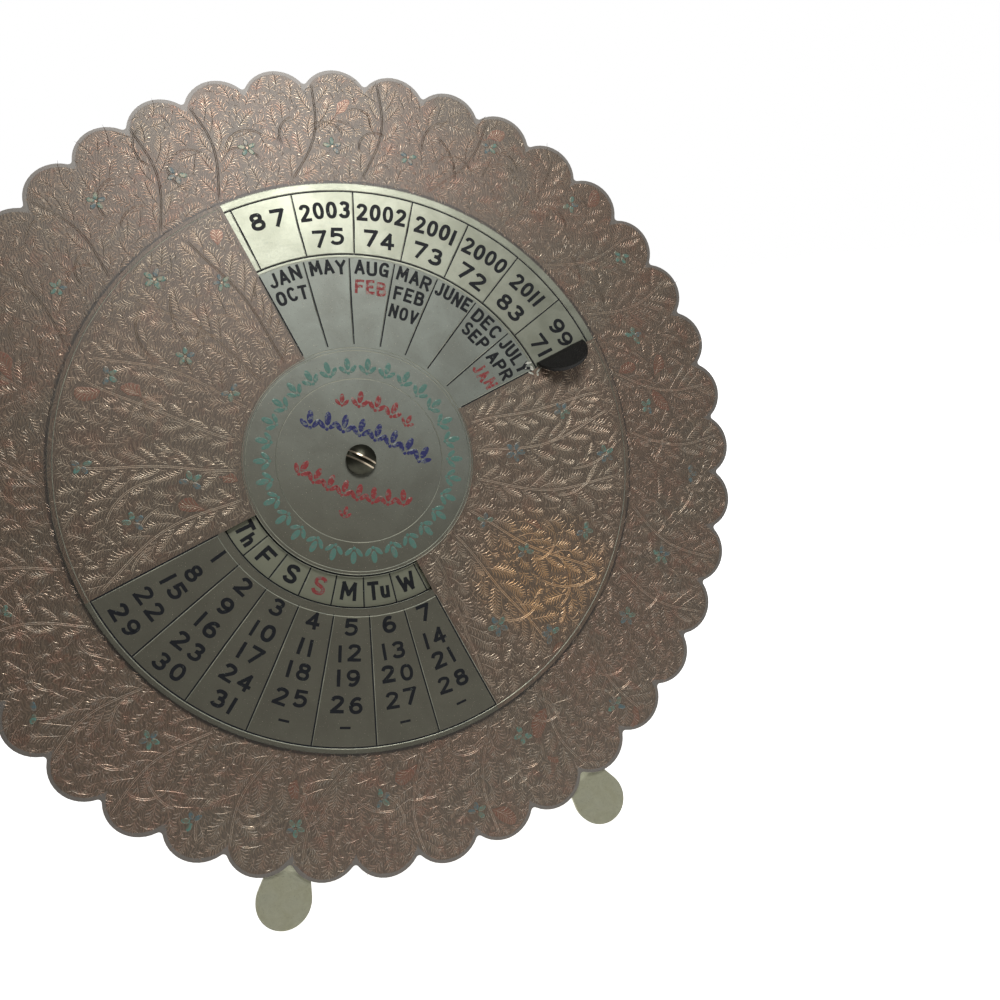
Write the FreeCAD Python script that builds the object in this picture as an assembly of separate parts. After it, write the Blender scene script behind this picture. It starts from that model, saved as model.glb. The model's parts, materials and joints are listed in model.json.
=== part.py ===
"""Perpetual desk calendar: a scalloped brass dial that stands on two tear-drop feet and a rear strut,
with a smaller disc that turns in front of it on a slotted screw.

Every piece is drawn in the dial's own frame: X to the right, Y up the dial, Z out of its front face,
with the origin on the front face at the screw's axis. Angles on the dial run clockwise from Y, as seen
from the front. At the end the dial is leaned back, and the finished object is set on its feet with the
origin under the middle of its box. Lengths are millimetres and angles are degrees.
"""
import FreeCAD, Part

import math
import os

Vector = FreeCAD.Vector
UP = Vector(0, 0, 1)

# Stance
LEAN = 18.0                 # the dial leans back this far from upright
STRUT_OPENING = 36.0        # angle between the dial and the open strut

# Clearances
RUN_GAP = 0.05              # between a turning face or bore and what it turns on
SIDE_GAP = 0.30             # beside the strut, inside its bracket
FLOOR_FLAT = 0.30           # how far a foot's round edge is rubbed flat where it stands

# Back plate
SCALLOPS = 40
PLATE_TIP_RADIUS = 95.0
SCALLOP_DEPTH = 3.5
VALLEY_ROUND = 0.8
PLATE_THICKNESS = 1.2

# The dial's cells: one full turn of them, and how many the notch and the window show
CELLS = 28
CELLS_SHOWN = 7

# Front disc
DISC_RADIUS = 66.6
DISC_THICKNESS = 0.9
DISC_TURN = 29.0            # how far the disc is turned from upright
NOTCH_INNER_RADIUS = 48.4
WINDOW_INNER_RADIUS = 26.5
WINDOW_OUTER_RADIUS = 34.4

# Thumb tab, folded up at the notch's clockwise edge
TAB_INNER_RADIUS = 49.8
TAB_OUTER_RADIUS = 63.2
TAB_HEIGHT = 6.6
TAB_FOLD = 135.0
TAB_FOLD_RADIUS = 0.2

# Screw, washers and nuts
SCREW_RADIUS = 2.0
HEAD_RADIUS = 3.5
HEAD_RIM = 0.7
HEAD_HEIGHT = 2.2
SLOT_WIDTH = 0.9
SLOT_DEPTH = 1.1
SLOT_ANGLE = 128.0
SCREW_END = 1.0             # how far the screw stands out behind the last nut
THRUST_WASHER_RADIUS = 3.3
THRUST_WASHER_THICKNESS = 0.4
SPACER_RADIUS = 6.0
SPACER_THICKNESS = 0.5
BACK_WASHER_RADIUS = 4.5
BACK_WASHER_THICKNESS = 0.8
SPRING_WASHER_RADIUS = 3.8
SPRING_WASHER_THICKNESS = 0.9
SPRING_WASHER_GAP = 0.8
NUT_ACROSS_FLATS = 7.0
NUT_THICKNESS = 2.4
LOCK_NUT_THICKNESS = 1.8
NUT_CHAMFER = 0.5

# Front legs
LEG_ANGLE = 22.5            # each leg's angle from straight down
LEG_THICKNESS = 1.2
LEG_WIDTH = 7.0
LEG_INNER_RADIUS = 34.0
LEG_RIVET_RADII = (39.0, 45.5)
FOOT_RADIUS = 6.1
FOOT_STANDOFF = 7.7         # from the scallops' valleys out to the middle of the foot
FOOT_TAPER = 11.0           # length over which the strip widens into the foot
FOOT_BEND_GAP = 1.5         # from the scallops' valleys out to the start of the bend
FOOT_BEND = 8.0
FOOT_BEND_RADIUS = 6.0

# Rivets
RIVET_RADIUS = 1.2
RIVET_FLUSH_RADIUS = 2.0    # the countersunk end, flush with the dial's front
RIVET_FLUSH_DEPTH = 0.7
RIVET_DOME_RADIUS = 2.1
RIVET_DOME_HEIGHT = 1.2

# Bracket and hinge pin
HINGE_HEIGHT = 42.0         # above the screw's axis, up the dial
BRACKET_THICKNESS = 1.0
BRACKET_BELOW = 7.5         # how far the bracket's foot reaches below the hinge
BRACKET_RIVET_HEIGHTS = (38.0, 45.6)
EAR_RADIUS = 3.2
PIN_RADIUS = 1.25
PIN_HEAD_RADIUS = 2.1
PIN_HEAD_HEIGHT = 1.0

# Rear strut
STRUT_THICKNESS = 1.2
STRUT_WIDTH = 14.0
STRUT_OFFSET = 1.9          # from the hinge axis to the strut's front face
STRUT_EAR_RADIUS = 2.9
STRUT_END_RADIUS = 6.0
STRUT_NUT_CLEARANCE = 1.0   # left behind the screw's end when the strut is folded flat
HEEL_MARGIN = 1.5           # bracket left above the line where the strut's heel stops

# Worked out from the sizes above
PLATE_VALLEY_RADIUS = PLATE_TIP_RADIUS - SCALLOP_DEPTH
FOOT_CENTRE_RADIUS = PLATE_VALLEY_RADIUS + FOOT_STANDOFF
FOOT_BEND_START = PLATE_VALLEY_RADIUS + FOOT_BEND_GAP
CELL_ANGLE = 360.0 / CELLS
HALF_OPEN = CELLS_SHOWN * CELL_ANGLE / 2
PLATE_BACK = -PLATE_THICKNESS
DISC_BACK = SPACER_THICKNESS + RUN_GAP
DISC_FRONT = DISC_BACK + DISC_THICKNESS
HEAD_BASE = DISC_FRONT + RUN_GAP + THRUST_WASHER_THICKNESS
SPRING_FRONT = PLATE_BACK - BACK_WASHER_THICKNESS
NUT_FRONT = SPRING_FRONT - SPRING_WASHER_THICKNESS
LOCK_NUT_FRONT = NUT_FRONT - NUT_THICKNESS
SCREW_BACK = LOCK_NUT_FRONT - LOCK_NUT_THICKNESS - SCREW_END
HINGE_DEPTH = SCREW_BACK - STRUT_NUT_CLEARANCE + STRUT_OFFSET
BRACKET_BACK = PLATE_BACK - BRACKET_THICKNESS
BRACKET_HALF_WIDTH = STRUT_WIDTH / 2 + SIDE_GAP + BRACKET_THICKNESS


def sine(angle):
    return math.sin(math.radians(angle))


def cosine(angle):
    return math.cos(math.radians(angle))


def on_dial(radius, angle, depth=0.0):
    """The point at a radius and a clockwise angle from the top of the dial."""
    return Vector(radius * sine(angle), radius * cosine(angle), depth)


def arc(start, middle, end):
    return Part.Arc(start, middle, end).toShape()


def line(start, end):
    return Part.LineSegment(start, end).toShape()


def prism(edges, height, direction=UP):
    """A closed outline raised into a solid."""
    return Part.Face(Part.Wire(edges)).extrude(direction * height)


def disc(radius, low, high, centre=Vector()):
    return Part.makeCylinder(radius, high - low, Vector(centre.x, centre.y, low), UP)


def washer(radius, bore, low, high):
    return disc(radius, low, high).cut(disc(bore, low, high))


def dome(radius, height, base, direction):
    """A spherical cap whose flat side is a circle of the radius at the base point."""
    ball = (radius ** 2 + height ** 2) / (2 * height)
    sphere = Part.makeSphere(ball, base + direction * (height - ball))
    return sphere.common(Part.makeCylinder(radius, height, base, direction))


def ring_sector(inner, outer, half_angle, low, high):
    """A sector of a ring, even about the top of the dial."""
    edges = [
        arc(on_dial(outer, -half_angle, low), on_dial(outer, 0, low), on_dial(outer, half_angle, low)),
        line(on_dial(outer, half_angle, low), on_dial(inner, half_angle, low)),
        arc(on_dial(inner, half_angle, low), on_dial(inner, 0, low), on_dial(inner, -half_angle, low)),
        line(on_dial(inner, -half_angle, low), on_dial(outer, -half_angle, low)),
    ]
    return prism(edges, high - low)


def turned(shape, clockwise):
    """A copy turned clockwise about the screw's axis, as seen from the front."""
    result = shape.copy()
    result.rotate(Vector(), UP, -clockwise)
    return result


def scalloped_plate():
    """The plate's outline: round scallops that meet in small rounded valleys."""
    half = 180.0 / SCALLOPS
    valley_centre = PLATE_VALLEY_RADIUS + VALLEY_ROUND
    reach = PLATE_TIP_RADIUS ** 2 + valley_centre ** 2 - VALLEY_ROUND ** 2
    across = 2 * valley_centre * PLATE_TIP_RADIUS * cosine(half)
    drop = PLATE_TIP_RADIUS - valley_centre * cosine(half) + VALLEY_ROUND
    scallop = (reach - across) / (2 * drop)
    centre = PLATE_TIP_RADIUS - scallop
    share = scallop / (scallop + VALLEY_ROUND)

    def join(scallop_angle, valley_angle):
        from_centre = on_dial(centre, scallop_angle, PLATE_BACK)
        to_valley = on_dial(valley_centre, valley_angle, PLATE_BACK)
        return from_centre + (to_valley - from_centre) * share

    edges = []
    for number in range(SCALLOPS):
        angle = number * 2 * half
        start = join(angle, angle - half)
        end = join(angle, angle + half)
        edges.append(arc(start, on_dial(PLATE_TIP_RADIUS, angle, PLATE_BACK), end))
        following = join(angle + 2 * half, angle + half)
        edges.append(arc(end, on_dial(PLATE_VALLEY_RADIUS, angle + half, PLATE_BACK), following))
    return prism(edges, PLATE_THICKNESS)


def rivet(place, back):
    """A rivet that is flush with the dial's front and domed behind the piece whose back it clamps."""
    cone = Part.makeCone(RIVET_RADIUS, RIVET_FLUSH_RADIUS, RIVET_FLUSH_DEPTH,
                         place - UP * RIVET_FLUSH_DEPTH, UP)
    shank = disc(RIVET_RADIUS, back, 0, place)
    cap = dome(RIVET_DOME_RADIUS, RIVET_DOME_HEIGHT, Vector(place.x, place.y, back), -UP)
    return shank.fuse(cone).fuse(cap).removeSplitter()


def leg_rivet_places(side):
    return [on_dial(radius, 180 - side * LEG_ANGLE) for radius in LEG_RIVET_RADII]


def bracket_rivet_places():
    return [Vector(0, height, 0) for height in BRACKET_RIVET_HEIGHTS]


def all_rivets():
    leg_back = PLATE_BACK - LEG_THICKNESS
    left = [rivet(place, leg_back) for place in leg_rivet_places(-1)]
    right = [rivet(place, leg_back) for place in leg_rivet_places(1)]
    bracket = [rivet(place, BRACKET_BACK) for place in bracket_rivet_places()]
    return left, right, bracket


def back_plate():
    plate = scalloped_plate().cut(disc(SCREW_RADIUS, PLATE_BACK, 0))
    left, right, bracket = all_rivets()
    return plate.cut(left + right + bracket)


def thumb_tab():
    """A half-moon that is folded up and back over the disc, drawn along the top of the dial."""
    axis_depth = DISC_FRONT + TAB_FOLD_RADIUS
    outer = TAB_FOLD_RADIUS + DISC_THICKNESS
    chord = TAB_OUTER_RADIUS - TAB_INNER_RADIUS

    def around(radius, swept):
        return Vector(-radius * sine(swept), TAB_INNER_RADIUS, axis_depth - radius * cosine(swept))

    half = TAB_FOLD / 2
    edges = [
        arc(around(outer, 0), around(outer, half), around(outer, TAB_FOLD)),
        line(around(outer, TAB_FOLD), around(TAB_FOLD_RADIUS, TAB_FOLD)),
        arc(around(TAB_FOLD_RADIUS, TAB_FOLD), around(TAB_FOLD_RADIUS, half), around(TAB_FOLD_RADIUS, 0)),
        line(around(TAB_FOLD_RADIUS, 0), around(outer, 0)),
    ]
    fold = prism(edges, chord, Vector(0, 1, 0))

    leaf_edges = [
        line(Vector(-chord / 2, 0, TAB_FOLD_RADIUS), Vector(chord / 2, 0, TAB_FOLD_RADIUS)),
        arc(Vector(chord / 2, 0, TAB_FOLD_RADIUS), Vector(0, TAB_HEIGHT, TAB_FOLD_RADIUS),
            Vector(-chord / 2, 0, TAB_FOLD_RADIUS)),
    ]
    leaf = prism(leaf_edges, DISC_THICKNESS)
    along = Vector(-cosine(TAB_FOLD), 0, sine(TAB_FOLD))
    outward = Vector(-sine(TAB_FOLD), 0, -cosine(TAB_FOLD))
    turn = FreeCAD.Rotation(Vector(0, -1, 0), along, outward)
    foot = Vector(0, (TAB_INNER_RADIUS + TAB_OUTER_RADIUS) / 2, axis_depth)
    leaf.Placement = FreeCAD.Placement(foot, turn)
    return fold.fuse(leaf)


def front_disc():
    body = disc(DISC_RADIUS, DISC_BACK, DISC_FRONT)
    notch = ring_sector(NOTCH_INNER_RADIUS, 2 * DISC_RADIUS, HALF_OPEN, DISC_BACK, DISC_FRONT)
    window = ring_sector(WINDOW_INNER_RADIUS, WINDOW_OUTER_RADIUS, HALF_OPEN, DISC_BACK, DISC_FRONT)
    bore = disc(SCREW_RADIUS + RUN_GAP, DISC_BACK, DISC_FRONT)
    body = body.cut([notch, turned(window, 180), bore])
    whole = body.fuse(turned(thumb_tab(), HALF_OPEN)).removeSplitter()
    return turned(whole, DISC_TURN)


def center_screw():
    shank = disc(SCREW_RADIUS, SCREW_BACK, HEAD_BASE)
    rim = disc(HEAD_RADIUS, HEAD_BASE, HEAD_BASE + HEAD_RIM)
    crown = dome(HEAD_RADIUS, HEAD_HEIGHT - HEAD_RIM, Vector(0, 0, HEAD_BASE + HEAD_RIM), UP)
    top = HEAD_BASE + HEAD_HEIGHT
    slot = Part.makeBox(SLOT_WIDTH, 4 * HEAD_RADIUS, 2 * SLOT_DEPTH,
                        Vector(-SLOT_WIDTH / 2, -2 * HEAD_RADIUS, top - SLOT_DEPTH))
    return shank.fuse([rim, crown]).removeSplitter().cut(turned(slot, SLOT_ANGLE))


def spring_washer():
    ring = washer(SPRING_WASHER_RADIUS, SCREW_RADIUS + RUN_GAP, NUT_FRONT, SPRING_FRONT)
    gap = Part.makeBox(SPRING_WASHER_GAP, 2 * SPRING_WASHER_RADIUS, 4 * SPRING_WASHER_THICKNESS,
                       Vector(-SPRING_WASHER_GAP / 2, 0, NUT_FRONT - 2 * SPRING_WASHER_THICKNESS))
    gap.rotate(Vector(0, 0, (NUT_FRONT + SPRING_FRONT) / 2), Vector(0, 1, 0), 45)
    return ring.cut(gap)


def hex_nut(front, thickness):
    """A hexagon with its corners turned off, bored for the screw."""
    corner = NUT_ACROSS_FLATS / 2 / cosine(30)
    back = front - thickness
    points = [on_dial(corner, 60 * number, back) for number in range(6)]
    edges = [line(points[number - 1], points[number]) for number in range(6)]
    block = prism(edges, thickness)
    rear = Part.makeCone(corner - NUT_CHAMFER, corner, NUT_CHAMFER, Vector(0, 0, back), UP)
    barrel = disc(corner, back + NUT_CHAMFER, front)
    return block.common(rear.fuse(barrel)).cut(disc(SCREW_RADIUS, back, front))


def foot_slope_line():
    """The leg's bend, side on: its end, and the direction in which the foot goes on."""
    middle = PLATE_BACK - LEG_THICKNESS / 2
    bend_end = Vector(0, FOOT_BEND_START + FOOT_BEND_RADIUS * sine(FOOT_BEND),
                      middle + FOOT_BEND_RADIUS * (1 - cosine(FOOT_BEND)))
    return bend_end, Vector(0, cosine(FOOT_BEND), sine(FOOT_BEND))


def bent_strip():
    """A wide sheet with the leg's bend in it, drawn along the top of the dial."""
    wide = 4 * FOOT_RADIUS
    middle = PLATE_BACK - LEG_THICKNESS / 2
    bend_axis = middle + FOOT_BEND_RADIUS
    reach = FOOT_CENTRE_RADIUS + 2 * FOOT_RADIUS

    def around(radius, swept):
        return Vector(-wide / 2, FOOT_BEND_START + radius * sine(swept), bend_axis - radius * cosine(swept))

    def beyond(radius):
        start = around(radius, FOOT_BEND)
        return start + Vector(0, cosine(FOOT_BEND), sine(FOOT_BEND)) * (reach - FOOT_BEND_START)

    near = FOOT_BEND_RADIUS - LEG_THICKNESS / 2
    far = FOOT_BEND_RADIUS + LEG_THICKNESS / 2
    root_front = Vector(-wide / 2, 0, PLATE_BACK)
    root_back = Vector(-wide / 2, 0, PLATE_BACK - LEG_THICKNESS)
    edges = [
        line(root_back, around(far, 0)),
        arc(around(far, 0), around(far, FOOT_BEND / 2), around(far, FOOT_BEND)),
        line(around(far, FOOT_BEND), beyond(far)),
        line(beyond(far), beyond(near)),
        line(beyond(near), around(near, FOOT_BEND)),
        arc(around(near, FOOT_BEND), around(near, FOOT_BEND / 2), around(near, 0)),
        line(around(near, 0), root_front),
        line(root_front, root_back),
    ]
    return prism(edges, wide, Vector(1, 0, 0))


def teardrop_outline(depth):
    """The leg from the front: a strip with a round inner end that widens into a tear-drop foot."""
    half = LEG_WIDTH / 2
    centre = Vector(0, FOOT_CENTRE_RADIUS, depth)
    neck = Vector(half, FOOT_CENTRE_RADIUS - FOOT_TAPER, depth)
    to_neck = neck - centre
    spread = math.degrees(math.acos(FOOT_RADIUS / to_neck.Length))
    heading = math.degrees(math.atan2(to_neck.x, to_neck.y)) - spread
    touch = centre + Vector(FOOT_RADIUS * sine(heading), FOOT_RADIUS * cosine(heading), 0)
    shoulder = Vector(half, LEG_INNER_RADIUS + half, depth)

    def mirrored(point):
        return Vector(-point.x, point.y, point.z)

    return [
        arc(mirrored(shoulder), Vector(0, LEG_INNER_RADIUS, depth), shoulder),
        line(shoulder, neck),
        line(neck, touch),
        arc(touch, centre + Vector(0, FOOT_RADIUS, 0), mirrored(touch)),
        line(mirrored(touch), mirrored(neck)),
        line(mirrored(neck), mirrored(shoulder)),
    ]


def leg(side):
    """A leg, left for side -1 and right for side 1, not yet rubbed flat at the floor."""
    low = PLATE_BACK - 2 * LEG_THICKNESS
    high = FOOT_CENTRE_RADIUS * sine(FOOT_BEND)
    blank = bent_strip().common(prism(teardrop_outline(low), high - low))
    return turned(blank, 180 - side * LEG_ANGLE)


def hinge_point(across=0.0):
    return Vector(across, HINGE_HEIGHT, HINGE_DEPTH)


def heel_length():
    """How far the strut goes on above the hinge, so that it stops on the bracket when it is open."""
    room = BRACKET_BACK - HINGE_DEPTH - RUN_GAP
    return (room + STRUT_OFFSET * cosine(STRUT_OPENING)) / sine(STRUT_OPENING)


def bracket_top():
    return HINGE_HEIGHT + STRUT_OFFSET * sine(STRUT_OPENING) \
        + heel_length() * cosine(STRUT_OPENING) + HEEL_MARGIN


def ear(across, thickness, radius, foot_low, foot_high, foot_depth):
    """An upright ear from a sheet at foot_depth to a round end about the hinge."""
    corners = [Vector(across, foot_low, foot_depth), Vector(across, foot_high, foot_depth),
               Vector(across, HINGE_HEIGHT + radius, HINGE_DEPTH),
               Vector(across, HINGE_HEIGHT - radius, HINGE_DEPTH)]
    edges = [line(corners[number - 1], corners[number]) for number in range(4)]
    blade = prism(edges, thickness, Vector(1, 0, 0))
    end = Part.makeCylinder(radius, thickness, hinge_point(across), Vector(1, 0, 0))
    return blade.fuse(end)


def hinge_bracket():
    low = HINGE_HEIGHT - BRACKET_BELOW
    base = Part.makeBox(2 * BRACKET_HALF_WIDTH, bracket_top() - low, BRACKET_THICKNESS,
                        Vector(-BRACKET_HALF_WIDTH, low, BRACKET_BACK))
    ears = [ear(across, BRACKET_THICKNESS, EAR_RADIUS, low, HINGE_HEIGHT + BRACKET_BELOW, BRACKET_BACK)
            for across in (-BRACKET_HALF_WIDTH, BRACKET_HALF_WIDTH - BRACKET_THICKNESS)]
    pin_hole = Part.makeCylinder(PIN_RADIUS, 4 * BRACKET_HALF_WIDTH, hinge_point(-2 * BRACKET_HALF_WIDTH),
                                 Vector(1, 0, 0))
    bracket_rivets = all_rivets()[2]
    return base.fuse(ears).removeSplitter().cut([pin_hole] + bracket_rivets)


def hinge_pin():
    across = Vector(1, 0, 0)
    shank = Part.makeCylinder(PIN_RADIUS, 2 * BRACKET_HALF_WIDTH, hinge_point(-BRACKET_HALF_WIDTH), across)
    heads = [dome(PIN_HEAD_RADIUS, PIN_HEAD_HEIGHT, hinge_point(-BRACKET_HALF_WIDTH), -across),
             dome(PIN_HEAD_RADIUS, PIN_HEAD_HEIGHT, hinge_point(BRACKET_HALF_WIDTH), across)]
    return shank.fuse(heads).removeSplitter()


def world_height(point):
    """How high a point of the dial's frame is, once the dial leans back."""
    return point.y * cosine(LEAN) + point.z * sine(LEAN)


def floor_level():
    """The floor, just above the lowest points that the two round feet would have."""
    bend_end, heading = foot_slope_line()
    beyond = (FOOT_CENTRE_RADIUS - bend_end.y) / heading.y
    centre = bend_end + heading * beyond
    normal = Vector(0, -heading.z, heading.y)
    leg_turn = FreeCAD.Rotation(UP, -(180 - LEG_ANGLE))
    upright = abs(world_height(leg_turn.multVec(normal)))
    lowest = world_height(leg_turn.multVec(centre)) - FOOT_RADIUS * math.sqrt(1 - upright ** 2) \
        - LEG_THICKNESS / 2 * upright
    return lowest + FLOOR_FLAT


def strut_reach():
    """From the hinge to the middle of the strut's round end, so that it just meets the floor."""
    tilt = STRUT_OPENING - LEAN
    middle = STRUT_OFFSET + STRUT_THICKNESS / 2
    hinge_rise = world_height(hinge_point()) - floor_level() + FLOOR_FLAT
    spare = middle * sine(tilt) - STRUT_THICKNESS / 2 * abs(sine(tilt))
    return (hinge_rise + spare) / cosine(tilt) - STRUT_END_RADIUS


def rear_strut():
    """The strut, drawn flat against the back and then swung open, not yet rubbed flat at the floor."""
    half = STRUT_WIDTH / 2
    front = HINGE_DEPTH - STRUT_OFFSET
    back = front - STRUT_THICKNESS
    top = HINGE_HEIGHT + heel_length()
    end = HINGE_HEIGHT - strut_reach()
    edges = [
        line(Vector(-half, top, back), Vector(half, top, back)),
        line(Vector(half, top, back), Vector(half, HINGE_HEIGHT - half, back)),
        line(Vector(half, HINGE_HEIGHT - half, back), Vector(STRUT_END_RADIUS, end, back)),
        arc(Vector(STRUT_END_RADIUS, end, back), Vector(0, end - STRUT_END_RADIUS, back),
            Vector(-STRUT_END_RADIUS, end, back)),
        line(Vector(-STRUT_END_RADIUS, end, back), Vector(-half, HINGE_HEIGHT - half, back)),
        line(Vector(-half, HINGE_HEIGHT - half, back), Vector(-half, top, back)),
    ]
    strip = prism(edges, STRUT_THICKNESS)
    ears = [ear(across, STRUT_THICKNESS, STRUT_EAR_RADIUS, HINGE_HEIGHT - half,
                HINGE_HEIGHT + STRUT_EAR_RADIUS, back)
            for across in (-half, half - STRUT_THICKNESS)]
    bore = Part.makeCylinder(PIN_RADIUS + RUN_GAP, 2 * STRUT_WIDTH, hinge_point(-STRUT_WIDTH), Vector(1, 0, 0))
    strut = strip.fuse(ears).removeSplitter().cut(bore)
    strut.rotate(hinge_point(), Vector(1, 0, 0), STRUT_OPENING)
    return strut


def leaned(shape):
    """A copy in upright axes: the dial leans back, and its front faces -Y."""
    result = shape.copy()
    result.rotate(Vector(), Vector(1, 0, 0), 90 - LEAN)
    return result


def rubbed_flat(shape):
    """A leaned foot, with what would reach below the floor taken off."""
    wide = 4 * PLATE_TIP_RADIUS
    ground = Part.makeBox(wide, wide, wide, Vector(-wide / 2, -wide / 2, floor_level() - wide))
    return shape.cut(ground)


def all_pieces():
    left_rivets, right_rivets, bracket_rivets = all_rivets()
    drawn = {
        "back_plate": back_plate(),
        "front_disc": front_disc(),
        "center_screw": center_screw(),
        "thrust_washer": washer(THRUST_WASHER_RADIUS, SCREW_RADIUS, DISC_FRONT + RUN_GAP, HEAD_BASE),
        "spacer_washer": washer(SPACER_RADIUS, SCREW_RADIUS, 0, SPACER_THICKNESS),
        "back_washer": washer(BACK_WASHER_RADIUS, SCREW_RADIUS, SPRING_FRONT, PLATE_BACK),
        "spring_washer": spring_washer(),
        "center_nut": hex_nut(NUT_FRONT, NUT_THICKNESS),
        "lock_nut": hex_nut(LOCK_NUT_FRONT, LOCK_NUT_THICKNESS),
        "left_leg": leg(-1).cut(left_rivets),
        "right_leg": leg(1).cut(right_rivets),
        "left_leg_rivets": Part.makeCompound(left_rivets),
        "right_leg_rivets": Part.makeCompound(right_rivets),
        "hinge_bracket": hinge_bracket(),
        "bracket_rivets": Part.makeCompound(bracket_rivets),
        "hinge_pin": hinge_pin(),
        "rear_strut": rear_strut(),
    }
    pieces = {name: leaned(shape) for name, shape in drawn.items()}
    for name in ("left_leg", "right_leg", "rear_strut"):
        pieces[name] = rubbed_flat(pieces[name])
    return pieces


def resting_offset(pieces):
    """The move that puts the origin on the floor, under the middle of the object's box."""
    box = Part.makeCompound(list(pieces.values())).BoundBox
    return Vector(-box.Center.x, -box.Center.y, -floor_level())


def main():
    os.makedirs("parts", exist_ok=True)
    pieces = all_pieces()
    offset = resting_offset(pieces)
    for name, shape in pieces.items():
        shape.translate(offset)
        shape.exportStep("parts/" + name + ".step")
        print(name, "solids", len(shape.Solids), "valid", shape.isValid(), "volume", round(shape.Volume, 1))
    return pieces, offset


main()
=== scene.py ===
"""The looks of the perpetual desk calendar: engraved leaves and stems, enamel touches, stamped numbers and
tarnished brass on the dial and on the disc that turns in front of it.

What lies on the dial is drawn flat, in millimetres: X to the right, Y up the dial, Z out of its front
face, with angles clockwise from Y. One matrix then sets it on the dial, another on the turned disc.
"""
import json
from math import atan2, cos, degrees, pi, radians, sin, sqrt
from random import choice, random, seed, shuffle, uniform

import bmesh
import bpy
from mathutils import Matrix, Vector


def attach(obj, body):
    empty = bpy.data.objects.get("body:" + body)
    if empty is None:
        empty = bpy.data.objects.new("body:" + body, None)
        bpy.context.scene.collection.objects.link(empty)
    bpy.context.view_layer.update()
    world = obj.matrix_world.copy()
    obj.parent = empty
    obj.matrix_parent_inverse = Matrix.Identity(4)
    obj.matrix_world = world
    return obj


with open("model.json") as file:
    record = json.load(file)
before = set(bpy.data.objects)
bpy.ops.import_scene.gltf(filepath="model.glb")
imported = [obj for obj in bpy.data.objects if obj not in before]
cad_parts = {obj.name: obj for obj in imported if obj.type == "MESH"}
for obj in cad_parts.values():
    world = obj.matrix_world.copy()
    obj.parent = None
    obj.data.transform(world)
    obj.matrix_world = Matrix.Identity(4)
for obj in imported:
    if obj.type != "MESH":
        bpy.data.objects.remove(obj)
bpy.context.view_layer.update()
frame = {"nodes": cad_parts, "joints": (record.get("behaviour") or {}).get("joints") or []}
nodes = frame["nodes"]
seed(7)

# Sizes on the dial, in millimetres and degrees, as in the solids
SCALLOPS = 40
TIP_RADIUS = 95.0
SCALLOP_RADIUS = 8.0
CELLS = 28
CELL = 360.0 / CELLS
CELLS_SHOWN = 7
HALF_OPEN = CELLS_SHOWN * CELL / 2
DISC_BACK = 0.55
DISC_FRONT = 1.45
DISC_TURN = 29.0
DISC_RADIUS = 66.6
NOTCH_INNER = 48.4
SLOT_WIDTH = 0.9
SLOT_ANGLE = 128.0

# The rings and rows that are engraved or stamped
YEAR_RING = (49.5, 64.9)
YEAR_PHASE = -14.4  # the left edge of the first year cell that shows
YEAR_ROWS = (60.2, 53.6)
DAY_RING = (26.8, 34.1)
DAY_PHASE = 165.6
DAY_ROW = 30.4
MONTH_RING = (27.4, 48.0)
MONTH_ROWS = (46.0, 41.4, 36.6)
MONTH_HEIGHTS = (3.6, 3.5, 3.4)
DATE_RING = (35.9, 65.4)
DATE_ROWS = (38.5, 44.5, 49.9, 55.8, 61.6)
HUB_CIRCLES = (26.3, 25.6, 18.9)
PLAIN_RING = (65.2, 66.9)  # the pale ring outside the years
LEAF_RING = (67.1, 94.0)  # the engraved ring of the dial
LEAF_MARGIN = 0.95  # from the leaves to the scalloped edge
QUADRANT = (26.9, 65.2)  # the engraved quadrants of the disc
GOLD_SPOT = (50.0, -14.0)  # where the disc is rubbed back to gold, and how far
GOLD_REACH = (19.0, 17.0)

SHADE_REACH = 36.0  # how far out painted shade reaches round the weekday window
YEAR_HEIGHT = 4.3
DAY_HEIGHT = 4.4
DATE_HEIGHT = 4.0

# Depths from each frame's own front face, at which a solid's look changes
DIAL_EDGE = -0.3
DIAL_BACK = -0.7
DISC_EDGE = -0.05
DISC_REAR = -0.8
TAB_FOOT = 0.35

# Finish of the metal
BRASS_METALLIC = 0.85
FILM_WEIGHT = 0.85  # of the old lacquer on the dial and the disc
CREST_FILM = 0.9
BUMP_DEPTH = 0.0002  # in metres
COMB_SCALE = 0.5  # of the wave that combs the ground: lines 0.63 mm apart

# Where each frame of drawing lies
joints = {joint["name"]: joint for joint in frame["joints"]}
axis = Vector(joints["disc_turn"]["axis"]).normalized()
upward = axis.cross(Vector((1, 0, 0)))
centre = Vector(joints["disc_turn"]["pos_m"]) - axis * DISC_BACK * 0.001
DIAL = Matrix((
    (0.001, upward.x * 0.001, axis.x * 0.001, centre.x),
    (0.0, upward.y * 0.001, axis.y * 0.001, centre.y),
    (0.0, upward.z * 0.001, axis.z * 0.001, centre.z),
    (0.0, 0.0, 0.0, 1.0),
))
DISC = DIAL @ Matrix.Translation((0, 0, DISC_FRONT)) @ Matrix.Rotation(radians(-DISC_TURN), 4, "Z")
PLACES = {"dial": DIAL, "disc": DISC}
BODIES = {"dial": "stand", "disc": "disc"}


def put_in_scene(name, data):
    made = bpy.data.objects.new(name, data)
    bpy.context.scene.collection.objects.link(made)
    return made


def polar(radius, angle):
    """A point on the dial at a clockwise angle from the top."""
    return Vector((radius * sin(radians(angle)), radius * cos(radians(angle))))


def angle_of(point):
    return degrees(atan2(point.x, point.y))


# Shader maths written as expressions

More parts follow.
